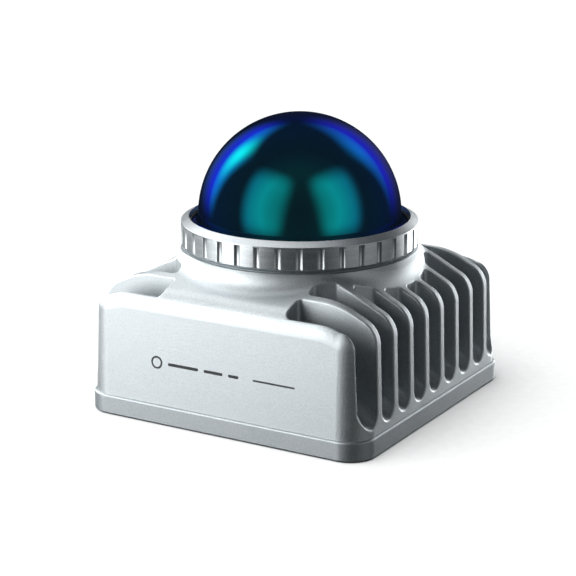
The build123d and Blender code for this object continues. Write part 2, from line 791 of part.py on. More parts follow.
with BuildPart() as head_board:
    with BuildSketch(Plane.XY.offset(head_top)):
        add(sector(12.8, 17.8, 180, 34))
    extrude(amount=1.0)
save(head_board.part, "head_board")

with BuildPart() as head_chips:
    with BuildSketch(Plane.XY.offset(head_top + 1.0)):
        with PolarLocations(15.3, 3, start_angle=155, angular_range=50):
            Rectangle(3.0, 3.6)
    extrude(amount=0.9)
save(head_chips.part, "head_chips")

with BuildPart() as spindle_bearing:
    with BuildSketch(Plane.XZ):
        with BuildLine():
            Polyline(*bearing_profile(spindle_radius + fit_gap, spindle_bearing_radius - fit_gap,
                                      cheek_thickness), close=True)
        make_face()
    revolve(axis=Axis.Z)
with BuildPart() as spindle_bearings:
    for start in (cheek_gap, -cheek_gap - cheek_thickness):
        with Locations(Plane((mirror_x, start, mirror_z), z_dir=(0, 1, 0))):
            add(spindle_bearing.part)
save(spindle_bearings.part, "spindle_bearings")

motor_face = cheek_gap + cheek_thickness
with BuildPart() as mirror_motor_stator:
    with BuildSketch(Plane((mirror_x, motor_face, mirror_z), z_dir=(0, 1, 0))):
        Circle(4.2)
        Circle(2.0, mode=Mode.SUBTRACT)
    extrude(amount=2.2)
    fillet(mirror_motor_stator.edges().group_by(Axis.Y)[-1], 0.3)
save(mirror_motor_stator.part, "mirror_motor_stator")

# ---------------------------------------------------------------- spinning mirror
with BuildPart() as mirror_spindle:
    with BuildSketch(Plane((mirror_x, -10.8, mirror_z), z_dir=(0, 1, 0))):
        Circle(spindle_radius)
    extrude(amount=10.8 + 13.6)
    chamfer(mirror_spindle.edges().filter_by(GeomType.CIRCLE), 0.2)
save(mirror_spindle.part, "mirror_spindle")

with BuildPart() as polygon_mirror:
    with BuildSketch(Plane((mirror_x, -7.2, mirror_z), z_dir=(0, 1, 0))):
        Rectangle(2 * mirror_apothem, 2 * mirror_apothem, rotation=45)
        Circle(spindle_radius + fit_gap, mode=Mode.SUBTRACT)
    extrude(amount=14.4)
    corners = polygon_mirror.edges().filter_by(Axis.Y).filter_by(GeomType.LINE)
    chamfer(corners, 0.25)
save(polygon_mirror.part, "polygon_mirror")

with BuildPart() as mirror_motor_rotor:
    with BuildSketch(Plane((mirror_x, motor_face + 0.3, mirror_z), z_dir=(0, 1, 0))):
        Circle(5.2)
    extrude(amount=3.0)
    with BuildSketch(Plane((mirror_x, motor_face + 0.3, mirror_z), z_dir=(0, 1, 0))):
        Circle(4.4)
    extrude(amount=2.2, mode=Mode.SUBTRACT)
    with BuildSketch(Plane((mirror_x, motor_face + 0.3, mirror_z), z_dir=(0, 1, 0))):
        Circle(spindle_radius + fit_gap)
    extrude(amount=3.0, mode=Mode.SUBTRACT)
    fillet(mirror_motor_rotor.edges().group_by(Axis.Y)[-1].filter_by(
        lambda edge: edge.radius > 3), 0.4)
save(mirror_motor_rotor.part, "mirror_motor_rotor")
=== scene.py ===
# %% [markdown]
# # A small spinning lidar sensor
# The sensor is a square metal casting with cooling fins on both sides. A ribbed ring clamps a
# dark, coated dome on top of it, and a round connector leaves the back. Inside the dome, a head
# turns about the upright axis and a small mirror block spins in it.
#
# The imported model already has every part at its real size, in metres, with +Z up and the front
# towards -Y. It is loaded first and stays as it is. What is added here is what a camera sees: a
# smooth dome, softened edges, a printed mark, a finish for every part, and a small studio.

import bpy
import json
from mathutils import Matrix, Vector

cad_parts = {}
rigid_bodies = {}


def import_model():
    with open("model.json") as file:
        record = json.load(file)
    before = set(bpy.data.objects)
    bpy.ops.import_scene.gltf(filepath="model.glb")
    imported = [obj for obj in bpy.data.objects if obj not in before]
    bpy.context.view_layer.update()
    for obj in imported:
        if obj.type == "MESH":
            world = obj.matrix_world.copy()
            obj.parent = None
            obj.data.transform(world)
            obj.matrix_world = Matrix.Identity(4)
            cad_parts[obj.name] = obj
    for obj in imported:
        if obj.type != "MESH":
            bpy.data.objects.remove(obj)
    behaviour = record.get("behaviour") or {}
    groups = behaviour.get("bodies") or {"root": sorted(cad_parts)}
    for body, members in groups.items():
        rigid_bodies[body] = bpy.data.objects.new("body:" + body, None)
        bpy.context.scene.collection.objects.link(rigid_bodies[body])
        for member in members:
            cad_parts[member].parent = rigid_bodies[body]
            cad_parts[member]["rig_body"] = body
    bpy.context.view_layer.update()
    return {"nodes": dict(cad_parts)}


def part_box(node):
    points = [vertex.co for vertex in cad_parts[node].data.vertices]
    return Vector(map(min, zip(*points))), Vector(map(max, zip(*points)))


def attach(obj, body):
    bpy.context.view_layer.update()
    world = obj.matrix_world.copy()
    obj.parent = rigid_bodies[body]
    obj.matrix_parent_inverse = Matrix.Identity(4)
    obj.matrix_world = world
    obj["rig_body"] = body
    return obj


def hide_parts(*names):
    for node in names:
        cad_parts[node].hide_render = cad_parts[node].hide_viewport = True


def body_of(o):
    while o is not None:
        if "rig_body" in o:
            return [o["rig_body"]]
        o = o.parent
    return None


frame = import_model()

# %% [markdown]
# ## Helpers
# Drawings of such parts are in millimetres and Blender counts in metres, so one constant turns
# one into the other. Colours are written as sRGB hex, as in any paint program, and shaders
# calculate in linear light, so one function converts them.

# %% Units and colours
import json
import math
import bmesh
import bpy
from mathutils import Matrix, Vector

MM = 0.001


def linear(hex_colour):
    """Turns an sRGB hex colour such as "#8a9296" into the linear RGBA that a shader wants."""
    channels = [int(hex_colour[i:i + 2], 16) / 255 for i in (1, 3, 5)]
    return [c / 12.92 if c <= 0.04045 else ((c + 0.055) / 1.055) ** 2.4 for c in channels] + [1]


print("mid grey in linear light is", round(linear("#808080")[0], 3))

# %% [markdown]
# ## The camera
# A product lens of about 116 mm looks down at the sensor from a little above, turned so that the
# front and the finned right side both show. The camera stands on a sphere round a point near
# the middle of the object. Every direction in the studio is given from that same point, as
# degrees to the right of the camera and degrees above the horizon.

# %% Place the camera
CAMERA_AZIMUTH = math.radians(30.59)    # from the front, towards the right side
CAMERA_ELEVATION = 15.84                # degrees above level
CAMERA_DISTANCE = 0.3889                # metres
AIM_HEIGHT = 22.82 * MM
AIM_TO_LEFT = 2.44 * MM
FOCAL_LENGTH = 116                      # millimetres, as lenses are marked
SENSOR_WIDTH = 36                       # millimetres
NEAREST_SEEN = 0.01                     # metres


def towards(right_of_camera, elevation):
    """The unit direction from the object that is so many degrees right of the camera and up."""
    turn = CAMERA_AZIMUTH + math.radians(right_of_camera)
    rise = math.radians(elevation)
    return Vector((math.sin(turn) * math.cos(rise), -math.cos(turn) * math.cos(rise),
                   math.sin(rise)))


def aim_at(thing, place, target):
    """Puts a camera or light at a place, facing the target."""
    thing.location = place
    thing.rotation_euler = (target - place).to_track_quat("-Z", "Y").to_euler()
    bpy.context.scene.collection.objects.link(thing)


sideways = Vector((math.cos(CAMERA_AZIMUTH), math.sin(CAMERA_AZIMUTH), 0))
aim = Vector((0, 0, AIM_HEIGHT)) - AIM_TO_LEFT * sideways
lens = bpy.data.cameras.new("camera")
lens.lens = FOCAL_LENGTH
lens.sensor_width = SENSOR_WIDTH
lens.clip_start = NEAREST_SEEN
camera = bpy.data.objects.new("camera", lens)
aim_at(camera, aim + CAMERA_DISTANCE * towards(0, CAMERA_ELEVATION), aim)
bpy.context.scene.camera = camera
bpy.context.scene.view_settings.view_transform = "Standard"    # colours as given, no film look
print("the camera stands at", [round(x, 3) for x in camera.location])

# %% [markdown]
# ## Building materials out of nodes
# A material is a small graph. Writing each node out takes many lines, so one function adds a
# node of any kind, gives it its settings, and fills or links its inputs. A second starts a
# material from a Principled shader with the values that are the same all over.

# %% Node helpers
def add(tree, kind, inputs=None, **settings):
    """Adds a node. An input is given a value, or another node's output to link to."""
    made = tree.nodes.new("ShaderNode" + kind)
    for name, value in settings.items():
        setattr(made, name, value)
    for name, value in (inputs or {}).items():
        if isinstance(value, bpy.types.NodeSocket):
            tree.links.new(value, made.inputs[name])
        else:
            made.inputs[name].default_value = value
    return made


def start_material(title, values):
    """Starts a material and returns it with its tree and its Principled shader."""
    material = bpy.data.materials.new(title)
    material.use_nodes = True
    tree = material.node_tree
    shader = tree.nodes["Principled BSDF"]
    for name, value in values.items():
        shader.inputs[name].default_value = value
    return material, tree, shader


def dress(tree, shader, pattern, colours, roughness, relief):
    """Lets a pattern from 0 to 1 drive the colour, the roughness and a relief in metres."""
    dark, light = colours
    # a colour Mix has its factor at 0 and its two colours at 6 and 7
    blend = add(tree, "Mix", {0: pattern, 6: linear(dark), 7: linear(light)}, data_type="RGBA")
    gloss = add(tree, "MapRange", {"Value": pattern, "To Min": roughness[0],
                                   "To Max": roughness[1]})
    bump = add(tree, "Bump", {"Height": pattern, "Distance": relief})
    tree.links.new(blend.outputs[2], shader.inputs["Base Color"])
    tree.links.new(gloss.outputs["Result"], shader.inputs["Roughness"])
    tree.links.new(bump.outputs["Normal"], shader.inputs["Normal"])


print("node helpers are ready")

# %% [markdown]
# ## Blasted, moulded and painted surfaces
# Bead blasting, a spark-eroded mould and a sprayed coat all leave a fine, even grain with no
# direction. Two noises give it: one at the grain's real size, and a broad, faint one for the
# slow changes in tone that any real surface has. The grain is the relief as well.

# %% The grained finish
MOTTLE_SHARE = 0.25             # the rest of the tone is the fine grain
GRAIN_RANGE = (0.3, 0.7)        # the part of the noise's range that becomes 0 to 1


def grained(title, colours, roughness, grain, relief, mottle=9 * MM, values=None):
    """A surface with an even grain of the given size, over broader mottling."""
    material, tree, shader = start_material(title, values or {})
    place = add(tree, "TexCoord").outputs["Object"]
    fine = add(tree, "TexNoise", {"Vector": place, "Scale": 1 / grain, "Detail": 3})
    broad = add(tree, "TexNoise", {"Vector": place, "Scale": 1 / mottle, "Detail": 2})
    both = add(tree, "Mix", {0: MOTTLE_SHARE, 2: fine.outputs["Fac"], 3: broad.outputs["Fac"]})
    wide = add(tree, "MapRange", {"Value": both.outputs[0], "From Min": GRAIN_RANGE[0],
                                  "From Max": GRAIN_RANGE[1]})
    dress(tree, shader, wide.outputs["Result"], colours, roughness, relief)
    return material


# die-cast aluminium, blasted with glass beads and clear anodised: pale grey, soft broad
# highlights and a sparkle of fine pits about 0.15 mm across, drawn at 0.3 mm so that they show
cast_aluminium = grained("bead-blasted cast aluminium", ("#b4bcc0", "#d3d8da"), (0.46, 0.58),
                         0.3 * MM, 0.012 * MM, values={"Metallic": 1.0})
# the plate comes from the same foundry and bead cabinet, with a slightly greyer cast skin
plate_aluminium = grained("bead-blasted aluminium plate", ("#a9b1b5", "#c6cbce"), (0.48, 0.6),
                          0.3 * MM, 0.012 * MM, values={"Metallic": 1.0})
# silicone rubber, compression moulded: black, soft sheen, no clear reflection
silicone_rubber = grained("moulded silicone rubber", ("#0c0d0e", "#1a1c1d"), (0.6, 0.75),
                          0.25 * MM, 0.01 * MM, values={"IOR": 1.41})
# glass-filled nylon, injection moulded in a spark-eroded tool: dull black with a fine bite
filled_nylon = grained("glass-filled nylon", ("#101112", "#232527"), (0.45, 0.62),
                       0.2 * MM, 0.012 * MM, values={"IOR": 1.53})
# epoxy mould compound round the chips: charcoal, matt and slightly sandy
chip_epoxy = grained("epoxy mould compound", ("#17181a", "#2a2b2e"), (0.5, 0.68),
                     0.18 * MM, 0.008 * MM, values={"IOR": 1.55})
# gap filler pad, a soft silicone loaded with ceramic powder: flat, chalky pink-grey
gap_filler = grained("ceramic-filled silicone pad", ("#8f8a90", "#b5afb4"), (0.8, 0.92),
                     0.3 * MM, 0.02 * MM, values={"IOR": 1.45})
# expanded PTFE, a stretched white felt that lets air through and keeps water out
expanded_ptfe = grained("expanded PTFE felt", ("#cfd2d2", "#f1f2f2"), (0.85, 0.95),
                        0.12 * MM, 0.02 * MM, values={"IOR": 1.35, "Sheen Weight": 0.3})
# sintered neodymium under a nickel flash: a warm dull grey
nickel_magnet = grained("nickel-flashed sintered magnet", ("#86847f", "#a8a6a1"), (0.25, 0.4),
                        0.25 * MM, 0.006 * MM, values={"Metallic": 1.0})
# hard black anodising on the lens barrel, blasted first so that it swallows stray light
black_anodising = grained("matt black anodised aluminium", ("#0b0c0e", "#1b1d20"), (0.5, 0.65),
                          0.2 * MM, 0.008 * MM, values={"Metallic": 0.6})
# drawn aluminium cans of the capacitors and the laser diode
drawn_can = grained("drawn aluminium can", ("#a8abad", "#c9cbcd"), (0.22, 0.36),
                    0.4 * MM, 0.004 * MM, values={"Metallic": 1.0})
# screws of stainless steel, cold formed, passivated and slightly dull
formed_steel = grained("cold-formed stainless steel", ("#8d8f90", "#b9bbbc"), (0.28, 0.42),
                       0.35 * MM, 0.005 * MM, values={"Metallic": 1.0})
# gold flash over nickel on the contact pins
gold_flash = grained("gold-plated contact", ("#c9963a", "#e3b95f"), (0.16, 0.28),
                     0.3 * MM, 0.003 * MM, values={"Metallic": 1.0})
print("grained finishes made")

# %% [markdown]
# ## Turned surfaces
# A lathe leaves fine rings round its axis. They depend only on how far a point is from the axis
# and how far along it, so the pattern is a noise of those two lengths. Satin anodising keeps
# the rings and softens their shine.

# %% The turned finish
GRIT_SHARE = 0.5                # the rest of the tone is the rings
GRIT = 0.3 * MM
TURNED_RANGE = (0.32, 0.68)     # the part of the noise's range that becomes 0 to 1


def turned(title, colours, roughness, pitch, relief, across=Vector((0, 0, 0)), lie_along_y=False,
           values=None):
    """A surface with lathe rings about an upright axis, or about one that lies along Y."""
    material, tree, shader = start_material(title, values or {})
    place = add(tree, "TexCoord").outputs["Object"]
    turn = (math.pi / 2 if lie_along_y else 0, 0, 0)
    centred = add(tree, "Mapping", {"Vector": place, "Rotation": turn, "Location": across})
    flat = add(tree, "VectorMath", {0: centred.outputs[0], 1: (1, 1, 0)}, operation="MULTIPLY")
    radius = add(tree, "VectorMath", {0: flat.outputs[0]}, operation="LENGTH")
    along = add(tree, "SeparateXYZ", {0: centred.outputs[0]})
    unrolled = add(tree, "CombineXYZ", {0: radius.outputs["Value"], 1: along.outputs[2]})
    rings = add(tree, "TexNoise", {"Vector": unrolled.outputs[0], "Scale": 1 / pitch,
                                   "Detail": 2})
    grit = add(tree, "TexNoise", {"Vector": place, "Scale": 1 / GRIT, "Detail": 3})
    both = add(tree, "Mix", {0: GRIT_SHARE, 2: rings.outputs["Fac"], 3: grit.outputs["Fac"]})
    wide = add(tree, "MapRange", {"Value": both.outputs[0], "From Min": TURNED_RANGE[0],
                                  "From Max": TURNED_RANGE[1]})
    dress(tree, shader, wide.outputs["Result"], colours, roughness, relief)
    return material


shell_low, shell_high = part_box("connector_shell")
connector_axis = (shell_low.z + shell_high.z) / 2
on_connector = {"across": Vector((0, connector_axis, 0)), "lie_along_y": True}
# the clamping ring, turned, blasted fine and clear anodised: brighter and smoother than the cast
satin_ring = turned("satin anodised turned aluminium", ("#b3babe", "#d6dadc"), (0.36, 0.46),
                    0.25 * MM, 0.006 * MM, values={"Metallic": 1.0})
# nickel over brass on the connector: a yellowish white metal with tool rings under the plating
plated_brass = turned("nickel-plated brass", ("#97938a", "#c3bfb5"), (0.16, 0.28),
                      0.2 * MM, 0.004 * MM, values={"Metallic": 1.0}, **on_connector)
# milled and turned aluminium frames of the head, left bare
bare_aluminium = turned("machined bare aluminium", ("#b0b3b5", "#dcdedf"), (0.24, 0.36),
                        0.3 * MM, 0.006 * MM, values={"Metallic": 1.0})
# ground and lapped bearing steel
bearing_steel = turned("ground bearing steel", ("#8e9193", "#c4c7c9"), (0.12, 0.22),
                       0.15 * MM, 0.003 * MM, values={"Metallic": 1.0})
# the balance weight, turned from brass bar
turned_brass = turned("turned brass", ("#a5803b", "#d2aa5e"), (0.2, 0.32),
                      0.25 * MM, 0.005 * MM, values={"Metallic": 1.0})
print("turned finishes made, the connector's axis is", round(connector_axis / MM, 2), "mm up")

# %% [markdown]
# ## Stacked and wound parts
# A motor core is a pile of stamped sheets 0.35 mm thick, and a coil is rows of enamelled wire.
# Both are drawn as level stripes of a real width, and a flat cable's tracks as stripes side by
# side. A Wave texture draws them. One full stripe of it is 2 pi / 20 of a unit at a scale of 1,
# so the scale comes from the stripe's width.

# %% The striped finish
STRIPE_AT_SCALE_ONE = 2 * math.pi / 20


def striped(title, colours, roughness, stripe, relief, direction, values=None):
    """A surface of even, rounded stripes of the given width."""
    material, tree, shader = start_material(title, values or {})
    place = add(tree, "TexCoord").outputs["Object"]
    waves = add(tree, "TexWave", {"Vector": place, "Scale": STRIPE_AT_SCALE_ONE / stripe,
                                  "Distortion": 0.6, "Detail": 2, "Detail Scale": 1.5},
                bands_direction=direction)
    dress(tree, shader, waves.outputs["Fac"], colours, roughness, relief)
    return material


# stamped silicon steel sheets with a dark oxide between them
stacked_steel = striped("stacked silicon steel", ("#3b3d40", "#85888b"), (0.35, 0.5),
                        0.35 * MM, 0.02 * MM, "Z", {"Metallic": 1.0})
# copper wire of 0.3 mm under a clear amber enamel
wound_copper = striped("enamelled copper winding", ("#6a2c12", "#c9743a"), (0.22, 0.34),
                       0.3 * MM, 0.05 * MM, "Z", {"Metallic": 1.0, "Coat Weight": 0.6,
                                                  "Coat Roughness": 0.15})
# polyimide film with etched copper tracks under it: amber with darker lines 0.5 mm apart
track_film = striped("polyimide flat cable", ("#7a3b0e", "#b8661f"), (0.25, 0.38),
                     0.5 * MM, 0.01 * MM, "X", {"IOR": 1.7})
print("striped finishes made")

# %% [markdown]
# ## The circuit boards
# A board is woven glass and epoxy under a green solder mask. Copper tracks lift the mask a
# little and look lighter. The thin, straight, branching borders of Voronoi cells stand for
# them, which is enough for a board that the dome and the housing hide.

# %% The board finish
TRACK_SPACING = 2.4 * MM
circuit_board, board_tree, board_shader = start_material(
    "solder-masked fibreglass board", {"IOR": 1.5, "Coat Weight": 0.4, "Coat Roughness": 0.2})
board_place = add(board_tree, "TexCoord").outputs["Object"]
tracks = add(board_tree, "TexVoronoi", {"Vector": board_place, "Scale": 1 / TRACK_SPACING},
             feature="DISTANCE_TO_EDGE")
track_edge = add(board_tree, "MapRange", {"Value": tracks.outputs["Distance"], "From Min": 0.06,
                                          "From Max": 0.1, "To Min": 1.0, "To Max": 0.0})
dress(board_tree, board_shader, track_edge.outputs["Result"], ("#0b3a24", "#1c6a41"),
      (0.32, 0.24), 0.03 * MM)
print("board finish made")

# %% [markdown]
# ## Optical parts
# The encoder disc is etched steel with a ring of fine radial slots, so its pattern depends only
# on the angle round the axis. The lenses are coated glass. The mirror block is polished
# aluminium under an evaporated gold film, which reflects infrared best.

# %% Encoder, lens and mirror finishes
ENCODER_LINES = 120
encoder_steel, encoder_tree, encoder_shader = start_material("etched encoder steel",
                                                             {"Metallic": 1.0})
encoder_place = add(encoder_tree, "TexCoord").outputs["Object"]
around = add(encoder_tree, "TexGradient", {"Vector": encoder_place}, gradient_type="RADIAL")
ticks = add(encoder_tree, "Math", {0: around.outputs["Fac"], 1: 0.5 / ENCODER_LINES},
            operation="PINGPONG")
tick_edge = add(encoder_tree, "MapRange", {"Value": ticks.outputs[0],
                                           "From Min": 0.2 / ENCODER_LINES,
                                           "From Max": 0.3 / ENCODER_LINES})
dress(encoder_tree, encoder_shader, tick_edge.outputs["Result"], ("#2a2c2e", "#aeb1b3"),
      (0.3, 0.2), 0.01 * MM)
# crown glass with a pale green anti-reflection coat
coated_lens = grained("coated crown glass", ("#0d1613", "#142420"), (0.02, 0.05), 0.5 * MM,
                      0.0005 * MM, values={"IOR": 1.52, "Coat Weight": 1.0,
                                           "Coat Roughness": 0.02, "Coat Tint": linear("#a8e0c8")})
# the gold film on the mirror block, almost without grain
gold_mirror = grained("evaporated gold mirror", ("#e0b45c", "#edc878"), (0.03, 0.06), 0.6 * MM,
                      0.0003 * MM, values={"Metallic": 1.0})
print("optical finishes made")

# %% [markdown]
# ## The dome's coating
# The dome is a plastic that looks black because it only passes infrared. It carries a stack of
# thin clear layers that stops glare, and such a stack reflects one band of colour: teal where
# it is seen straight on, blue and then violet where it is seen at a slant, as a soap film does.
# The colour belongs to the reflection. A metallic Principled shader tints its reflection with
# its base colour, so a ramp over the Facing output of Layer Weight, which goes from 0 straight
# on to 1 at the edge, holds the coating's colours. They were chosen, and not worked out from the
# layers. The specular tint holds back the white flash that bare metal would give at the very
# edge, and a faint emission, a painted glow, keeps the darkest parts a little above black.

# %% The coated dome finish
COATING = [(0.0, "#005959"), (0.03, "#006c6c"), (0.08, "#008689"), (0.15, "#006a7d"),
           (0.21, "#005069"), (0.41, "#005090"), (0.54, "#004a8c"), (0.66, "#0c2f84"),
           (0.8, "#201f6c"), (1.0, "#271969")]
RIPPLE_SIZE = 14 * MM
dome_coating, dome_tree, dome_shader = start_material(
    "interference-coated polycarbonate",
    {"Metallic": 0.95, "Specular Tint": linear("#0a4090"),
     # the emission is a painted glow: the dome is no lamp, and the glow keeps its darkest parts above
     # black
     "Emission Color": linear("#081019"), "Emission Strength": 1.0})
slant = add(dome_tree, "LayerWeight", {"Blend": 0.5})
coating = add(dome_tree, "ValToRGB", {"Fac": slant.outputs["Facing"]})
for _ in range(len(COATING) - 2):
    coating.color_ramp.elements.new(0.5)
for stop, (place, colour) in zip(coating.color_ramp.elements, COATING):
    stop.position = place
    stop.color = linear(colour)
# a moulded dome is very slightly uneven, so its polish changes slowly from place to place
ripple = add(dome_tree, "TexNoise", {"Vector": add(dome_tree, "TexCoord").outputs["Object"],
                                     "Scale": 1 / RIPPLE_SIZE, "Detail": 1})
polish = add(dome_tree, "MapRange", {"Value": ripple.outputs["Fac"], "To Min": 0.05,
                                     "To Max": 0.11})
dome_tree.links.new(coating.outputs["Color"], dome_shader.inputs["Base Color"])
dome_tree.links.new(polish.outputs["Result"], dome_shader.inputs["Roughness"])
print("the coating has", len(coating.color_ramp.elements), "colours")

# %% [markdown]
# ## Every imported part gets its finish
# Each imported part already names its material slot, so the finishes go in a table from slot to
# material, and one loop hands them out. The parts themselves stay untouched.

# %% Hand out the finishes
FINISHES = {
    "housing": cast_aluminium, "base_plate": plate_aluminium, "ring": satin_ring,
    "window": dome_coating, "seal_rubber": silicone_rubber, "connector_metal": plated_brass,
    "connector_plastic": filled_nylon, "gold_contact": gold_flash, "screw_steel": formed_steel,
    "vent_fabric": expanded_ptfe, "circuit_board": circuit_board, "flex_film": track_film,
    "chip_plastic": chip_epoxy, "capacitor_can": drawn_can, "thermal_rubber": gap_filler,
    "black_anodised": black_anodising, "lens_glass": coated_lens,
    "machined_aluminium": bare_aluminium, "bearing_steel": bearing_steel,
    "core_steel": stacked_steel, "copper_wire": wound_copper, "magnet": nickel_magnet,
    "encoder_steel": encoder_steel, "brass": turned_brass, "mirror_coating": gold_mirror,
}
slot_of = {}
for name, node in frame["nodes"].items():
    for slot in node.material_slots:
        slot_of[name] = slot.material.name.split(".")[0]
        slot.material = FINISHES[slot_of[name]]
print(len(slot_of), "parts have one of", len(FINISHES), "finishes")

# %% [markdown]
# ## The dome
# A mirror makes any unevenness of a mesh easy to see, so the dome gets an even mesh of its own,
# which is spun. One vertex at the top is spun a quarter turn to draw the outer arc, and extruded
# vertices and two more arcs draw the foot, the flange and the inner wall. The finished outline
# is then spun once round the upright axis. Its height, foot and flange width come from the
# packed dome's box, and the radius, wall, flange and fillet are named below.

# %% Spin the dome
DOME_WALL = 1.5 * MM
DOME_RADIUS = 21.07 * MM
ROOT_FILLET = 1.0 * MM
FLANGE_THICKNESS = 1.8 * MM
AROUND = 160                    # steps of the full spin
ARC = 44                        # steps of a quarter arc
ROOT_STEPS = 8                  # steps of the small arc at the foot
SAME_POINT = 0.001 * MM         # points nearer than this are one


def new_piece(name, mesh_maker, body, material):
    """Makes an object from a filled bmesh, and lets it ride on a body with a finish."""
    mesh = bpy.data.meshes.new(name)
    mesh_maker.to_mesh(mesh)
    mesh_maker.free()
    mesh.materials.append(material)
    piece = bpy.data.objects.new(name, mesh)
    bpy.context.scene.collection.objects.link(piece)
    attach(piece, body)
    return piece


def shade(piece, sharp_angle):
    """Shades a piece smooth, and keeps edges sharper than an angle in degrees crisp."""
    piece.data.shade_smooth()
    piece.data.set_sharp_from_angle(angle=math.radians(sharp_angle))


low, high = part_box("dome_window")
flange_radius = high.x
flange_bottom = low.z
flange_top = flange_bottom + FLANGE_THICKNESS
dome_centre = high.z - DOME_RADIUS
inner_radius = DOME_RADIUS - DOME_WALL
outline = bmesh.new()


def arc_on(vert, centre_x, centre_z, quarter_turns, steps):
    """Draws an arc of the outline on from a vertex and returns the arc's last vertex."""
    drawn = bmesh.ops.spin(outline, geom=[vert], cent=(centre_x, 0, centre_z), axis=(0, 1, 0),
                           angle=quarter_turns * math.pi / 2, steps=steps)
    return drawn["geom_last"][0]


def line_on(vert, x, z):
    """Draws a straight line of the outline on from a vertex to a new one."""
    added = bmesh.ops.extrude_vert_indiv(outline, verts=[vert])["verts"][0]
    added.co = (x, 0, z)
    return added


tip = outline.verts.new((0, 0, high.z))
tip = arc_on(tip, 0, dome_centre, 1, ARC)
tip = line_on(tip, DOME_RADIUS, flange_top + ROOT_FILLET)
tip = arc_on(tip, DOME_RADIUS + ROOT_FILLET, flange_top + ROOT_FILLET, -1, ROOT_STEPS)
tip = line_on(tip, flange_radius, flange_top)
tip = line_on(tip, flange_radius, flange_bottom)
tip = line_on(tip, inner_radius, flange_bottom)
tip = line_on(tip, inner_radius, dome_centre)
arc_on(tip, 0, dome_centre, -1, ARC)
bmesh.ops.spin(outline, geom=outline.verts[:] + outline.edges[:], cent=(0, 0, 0),
               axis=(0, 0, 1), angle=2 * math.pi, steps=AROUND, use_merge=True)
bmesh.ops.remove_doubles(outline, verts=outline.verts, dist=SAME_POINT)
bmesh.ops.recalc_face_normals(outline, faces=outline.faces)
dome = new_piece("coated_dome", outline, "sensor_body", dome_coating)
shade(dome, 40)
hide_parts("dome_window")
print("the dome has", len(dome.data.polygons), "faces and is", round(dome.dimensions.z / MM, 2),
      "mm high")

# %% [markdown]
# ## Softened edges
# No machined or cast edge is a perfect line: deburring leaves a tiny round, and it is what
# catches the light. The ring, the base plate and the connector are copied from the packed
# parts. The loose triangles of a copy are merged, flat neighbours are dissolved into one face,
# and the edges sharper than 30 degrees are bevelled. The width given is the most: with
# clamp_overlap, short edges make the bevel of the whole piece narrower. The weighted normals at
# the end keep the flat faces flat.

# %% Copy parts and bevel their edges
MERGE_WITHIN = 0.0005 * MM
FLAT_WITHIN = math.radians(0.4)
SHARP_FROM = math.radians(30)


def eased_copy(node_name, name, round_width, material):
    """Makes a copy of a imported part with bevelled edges, which stands for that part."""
    node = frame["nodes"][node_name]
    copied = bmesh.new()
    copied.from_mesh(node.data)
    bmesh.ops.remove_doubles(copied, verts=copied.verts, dist=MERGE_WITHIN)
    bmesh.ops.dissolve_limit(copied, angle_limit=FLAT_WITHIN, verts=copied.verts,
                             edges=copied.edges)
    sharp = [edge for edge in copied.edges
             if edge.is_manifold and edge.calc_face_angle() > SHARP_FROM]
    bmesh.ops.bevel(copied, geom=sharp, offset=round_width, segments=2, profile=0.5,
                    affect="EDGES", material=-1, clamp_overlap=True)
    piece = new_piece(name, copied, body_of(node)[0], material)
    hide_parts(node_name)
    shade(piece, 35)
    weighted = piece.modifiers.new("flat faces stay flat", "WEIGHTED_NORMAL")
    weighted.keep_sharp = True
    print(name, "has", len(sharp), "bevelled edges and", len(piece.data.polygons), "faces")


eased_copy("retaining_ring", "clamping_ring", 0.1 * MM, satin_ring)
eased_copy("base_plate", "base_cover", 0.15 * MM, plate_aluminium)
eased_copy("connector_shell", "socket_shell", 0.08 * MM, plated_brass)

# %% [markdown]
# ## The printed mark
# The maker prints a name on the front. Here a plain row of dashes and a ring stand for it, pad
# printed in dark ink 0.02 mm thick. The mark is drawn flat and then laid on the drafted front
# face: a ray from the front finds the face and its slope.

# %% Print the mark
INK_THICKNESS = 0.02 * MM
MARK_HEIGHT = 13.0 * MM          # above the bottom of the sensor
DASH_HEIGHT = 0.62 * MM
DASH_ROUNDING = 0.45             # of a dash's height
FIRST_DASH = -11.9 * MM          # places across the front count from its middle
DASH_LENGTHS = (7.2, 4.4, 2.4)   # millimetres
DASH_GAP = 1.3                   # millimetres
THIN_DASH = 8.0 * MM
THIN_DASH_LENGTH = 9.5 * MM
THIN_DASH_SHARE = 0.6            # of the height of the others
RING_PLACE = -14.6 * MM
RING_RADIUS = 1.35 * MM
RING_LINE = 0.4 * MM
ink = grained("pad-printed ink", ("#242628", "#303336"), (0.5, 0.62), 0.2 * MM, 0.002 * MM,
              values={"IOR": 1.5})
mark = bmesh.new()


def dash(left, length, height):
    """Draws one dash with rounded ends."""
    stretch = Matrix.Diagonal((length, height, 1, 1))
    drawn = bmesh.ops.create_grid(mark, x_segments=1, y_segments=1, size=0.5,
                                  matrix=Matrix.Translation((left + length / 2, 0, 0)) @ stretch)
    bmesh.ops.bevel(mark, geom=drawn["verts"], offset=DASH_ROUNDING * height, segments=4, profile=0.5,
                    affect="VERTICES", material=-1)


dash_left = FIRST_DASH
for length in DASH_LENGTHS:
    dash(dash_left, length * MM, DASH_HEIGHT)
    dash_left += (length + DASH_GAP) * MM
dash(THIN_DASH, THIN_DASH_LENGTH, THIN_DASH_SHARE * DASH_HEIGHT)
disc = bmesh.ops.create_circle(mark, cap_ends=True, segments=40, radius=RING_RADIUS,
                               matrix=Matrix.Translation((RING_PLACE, 0, 0)))
disc_faces = list({face for vert in disc["verts"] for face in vert.link_faces})
bmesh.ops.inset_region(mark, faces=disc_faces, thickness=RING_LINE, use_boundary=True)
bmesh.ops.delete(mark, geom=disc_faces, context="FACES")
